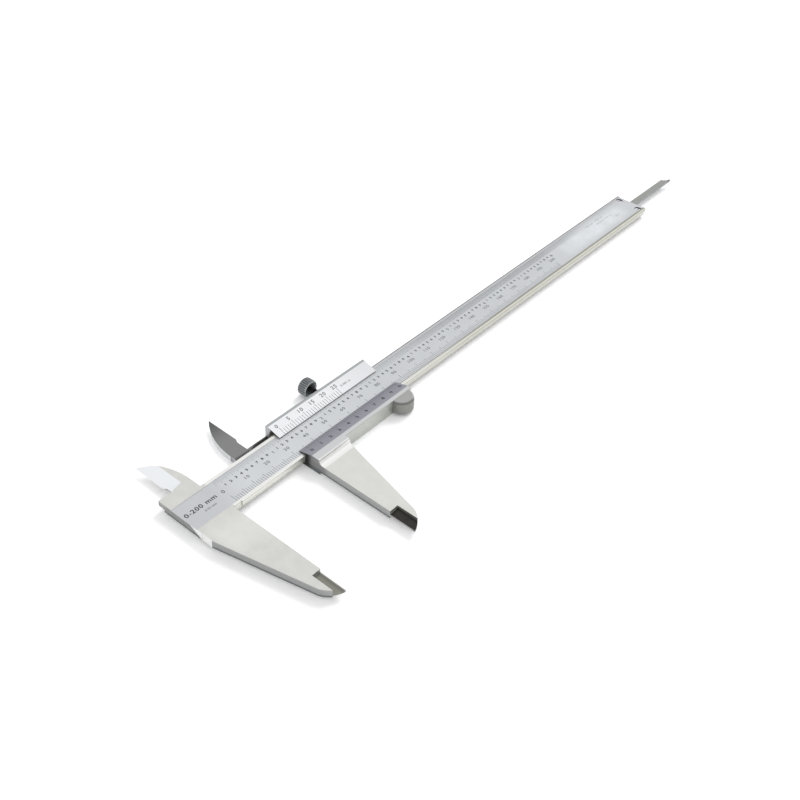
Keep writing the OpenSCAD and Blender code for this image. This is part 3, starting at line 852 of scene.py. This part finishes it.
class CALIPER_OT_clamp_screw(bpy.types.Operator):
    """Builds the clamp screw with its knurled head and threaded shank"""
    bl_idname = "caliper.clamp_screw"
    bl_label = "Clamp Screw"

    HEAD = 0.0041                # length of the knurled head with its chamfers
    CHAMFER, STEP, DISH = 0.0004, 0.00015, 0.00012
    INSET = 0.0005               # of the chamfer, and of the flat ring inside it
    THREAD_ROOT = 0.88           # of the shank's radius

    def execute(self, context):
        size = context.scene.caliper_clamp
        low, high = KNOB_BOX
        axis = Vector(((low.x + high.x) / 2, 0, (low.z + high.z) / 2))
        radius = (high.x - low.x) / 2
        head = self.HEAD - 2 * self.CHAMFER
        start = high.y - self.CHAMFER - head
        bpy.ops.object.select_all(action="DESELECT")
        ridges = size.ridges * 4
        bpy.ops.mesh.primitive_cylinder_add(
            vertices=ridges, radius=radius, depth=head, end_fill_type="NGON",
            location=(axis.x, start + head / 2, axis.z), rotation=(math.pi / 2, 0, 0))
        knob = bpy.context.view_layer.objects.active
        bpy.ops.object.transform_apply(location=True, rotation=True, scale=True)
        # both ends are stepped in, then dished
        pick(knob, lambda face: abs(face.normal.y) > 0.9)
        bpy.ops.object.mode_set(mode="EDIT")
        for thickness, depth in ((self.INSET, self.CHAMFER), (self.INSET, 0),
                                 (self.STEP, -self.DISH)):
            bpy.ops.mesh.inset(thickness=thickness, depth=depth)
        bpy.ops.object.mode_set(mode="OBJECT")
        # of every four edges round the head three are drawn in, which leaves the ridges
        on_rim = radius * 0.995
        for vertex in knob.data.vertices:
            out = Vector((vertex.co.x - axis.x, 0, vertex.co.z - axis.z))
            if out.length > on_rim:
                step = round(math.atan2(out.z, out.x) / math.tau * ridges) % 4
                out *= 1 - size.ridge_depth / radius * (0, 0.5, 1, 0.5)[step]
                vertex.co.x, vertex.co.z = axis.x + out.x, axis.z + out.z
        screw = joined([knob, self.shank(size, axis, low.y, start)], "knurled_clamp_screw")
        bpy.ops.object.shade_smooth_by_angle(angle=math.radians(32))
        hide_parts("clamp_screw")
        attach(screw, "clamp")
        return {"FINISHED"}

    def shank(self, size, axis, low, top):
        """The threaded shank: one tooth of the thread, extruded from a ring and repeated."""
        turns = round((top - low) / size.pitch)
        half = (0, 0, (top - low) / turns / 2)
        bpy.ops.object.select_all(action="DESELECT")
        bpy.ops.mesh.primitive_circle_add(vertices=32, radius=size.shank / 2, location=(0, 0, 0))
        shank = bpy.context.view_layer.objects.active
        bpy.ops.object.mode_set(mode="EDIT")
        bpy.ops.mesh.select_all(action="SELECT")
        for share in (self.THREAD_ROOT, 1 / self.THREAD_ROOT):
            bpy.ops.mesh.extrude_region_move(TRANSFORM_OT_translate={"value": half})
            bpy.ops.transform.resize(value=(share, share, 1))
        bpy.ops.object.mode_set(mode="OBJECT")
        repeated(shank, turns, (0, 0, 2 * half[2]), merge=0.00001)
        bpy.ops.object.mode_set(mode="EDIT")
        bpy.ops.mesh.select_all(action="SELECT")
        bpy.ops.mesh.fill_holes(sides=0)
        bpy.ops.mesh.normals_make_consistent(inside=False)
        bpy.ops.object.mode_set(mode="OBJECT")
        along = Matrix.Translation((axis.x, low, axis.z)) @ Matrix.Rotation(-math.pi / 2, 4, "X")
        return settle(shank, "shank", along)


class CALIPER_OT_finishes(bpy.types.Operator):
    """Gives every part of the caliper its finish"""
    bl_idname = "caliper.finishes"
    bl_label = "Finishes"

    def execute(self, context):
        look = context.scene.caliper_finish
        dress("main_beam", beam_finish(look))
        dress("slider", slider_finish(look))
        dress("depth_rod", rod_finish())
        dress("thumb_rest", thumb_finish())
        dress("thumb_rest_pins", plain_finish("screw_steel", (0.30, 0.30, 0.31), 0.35))
        dress("end_stop_screws", plain_finish("plated_steel", (0.78, 0.79, 0.82), 0.35))
        dress("gib_set_screws", plain_finish("set_screw_steel", (0.10, 0.10, 0.105), 0.45))
        dress("end_stop", plain_finish("stop_steel", (0.42, 0.42, 0.41), 0.4, scale=1.5,
                                       stretch=(0.3, 6.0, 1.0)))
        dress("depth_rod_pins", plain_finish("pin_steel", (0.50, 0.50, 0.49), 0.4, scale=2.5))
        bronze = plain_finish("bronze", look.bronze, 0.38, 0.95, scale=1.5, stretch=(0.2, 5.0, 5.0))
        for name in ("gib_strip", "leaf_spring", "clamp_pad"):
            dress(name, bronze)
        dress("knurled_clamp_screw", oxide_finish(context.scene.caliper_clamp.colour))
        return {"FINISHED"}


class CALIPER_OT_stage(bpy.types.Operator):
    """Sets the floor, the soft lights and the camera"""
    bl_idname = "caliper.stage"
    bl_label = "Stage"

    def execute(self, context):
        scene, stage = context.scene, context.scene.caliper_stage
        bpy.ops.object.select_all(action="DESELECT")
        bpy.ops.mesh.primitive_grid_add(x_subdivisions=4, y_subdivisions=4, size=FLOOR_SIZE,
                                        location=(0, 0, CAD_BOX[0].z - FLOOR_GAP))
        floor = settle(bpy.context.view_layer.objects.active, "floor")
        dress("floor", floor_finish(stage.floor))

        # the sky is dimmer near the horizon
        world = bpy.data.worlds.new("studio")
        scene.world = world
        world.use_nodes = True
        nodes, links = world.node_tree.nodes, world.node_tree.links
        sky = nodes["Background"]
        sky.inputs["Strength"].default_value = stage.sky
        way = nodes.new("ShaderNodeTexCoord")
        height = nodes.new("ShaderNodeSeparateXYZ")
        ramp = nodes.new("ShaderNodeValToRGB")
        stops = ramp.color_ramp.elements
        stops.new(0.6)
        for stop, position, level in zip(stops, (0.1, 0.6, 1.0), (stage.low_sky, 0.9, 1.0)):
            stop.position, stop.color = position, (level, level, level, 1.0)
        links.new(way.outputs["Generated"], height.inputs[0])
        links.new(height.outputs["Z"], ramp.inputs[0])
        links.new(ramp.outputs["Color"], sky.inputs["Color"])

        bpy.ops.object.light_add(type="AREA", location=KEY_PLACE)
        lamp = bpy.context.view_layer.objects.active
        lamp.name = lamp.data.name = "key"
        lamp.data.shape, lamp.data.size = "DISK", KEY_SIZE
        lamp.data.energy = stage.key
        lamp.visible_glossy = False
        lamp.rotation_mode = "QUATERNION"
        lamp.rotation_quaternion = (-lamp.location).to_track_quat("-Z", "Y")

        bpy.ops.object.camera_add(location=CAMERA_PLACE)
        camera = bpy.context.view_layer.objects.active
        camera.name = camera.data.name = "camera"
        camera.data.sensor_width = 36.0
        camera.data.lens = stage.lens
        camera.data.clip_start, camera.data.clip_end = 0.01, 50.0
        ahead = Vector(CAMERA_AHEAD).normalized()
        right = ahead.cross(Vector(CAMERA_UP)).normalized()
        turn = Matrix((right, right.cross(ahead), -ahead)).transposed()
        camera.rotation_mode = "QUATERNION"
        camera.rotation_quaternion = turn.to_quaternion()
        scene.camera = camera
        scene.view_settings.view_transform = "Standard"
        return {"FINISHED"}


class CALIPER_PT_panel(bpy.types.Panel):
    """Sizes, colours and the steps that build the caliper's looks"""
    bl_idname = "CALIPER_PT_panel"
    bl_label = "Vernier Caliper"
    bl_space_type = "VIEW_3D"
    bl_region_type = "UI"
    bl_category = "Caliper"

    def draw(self, context):
        layout = self.layout
        for group in SETTINGS:
            settings = getattr(context.scene, group)
            box = layout.box()
            for name in settings.bl_rna.properties.keys():
                if name not in {"rna_type", "name"}:
                    box.prop(settings, name)
        for operator in OPERATORS:
            layout.operator(operator.bl_idname)


SETTINGS = {
    "caliper_scale": CaliperScaleSettings,
    "caliper_clamp": CaliperClampSettings,
    "caliper_finish": CaliperFinishSettings,
    "caliper_stage": CaliperStageSettings,
}
OPERATORS = (
    CALIPER_OT_beam_scales,
    CALIPER_OT_head_mark,
    CALIPER_OT_vernier_marks,
    CALIPER_OT_clamp_screw,
    CALIPER_OT_finishes,
    CALIPER_OT_stage,
)
CLASSES = (*SETTINGS.values(), *OPERATORS, CALIPER_PT_panel)


def register():
    for made in CLASSES:
        bpy.utils.register_class(made)
    for name, group in SETTINGS.items():
        setattr(bpy.types.Scene, name, bpy.props.PointerProperty(type=group))


def unregister():
    for name in SETTINGS:
        delattr(bpy.types.Scene, name)
    for made in reversed(CLASSES):
        bpy.utils.unregister_class(made)


def main():
    register()
    for operator in OPERATORS:
        group, name = operator.bl_idname.split(".")
        getattr(getattr(bpy.ops, group), name)()


if __name__ == "__main__":
    main()
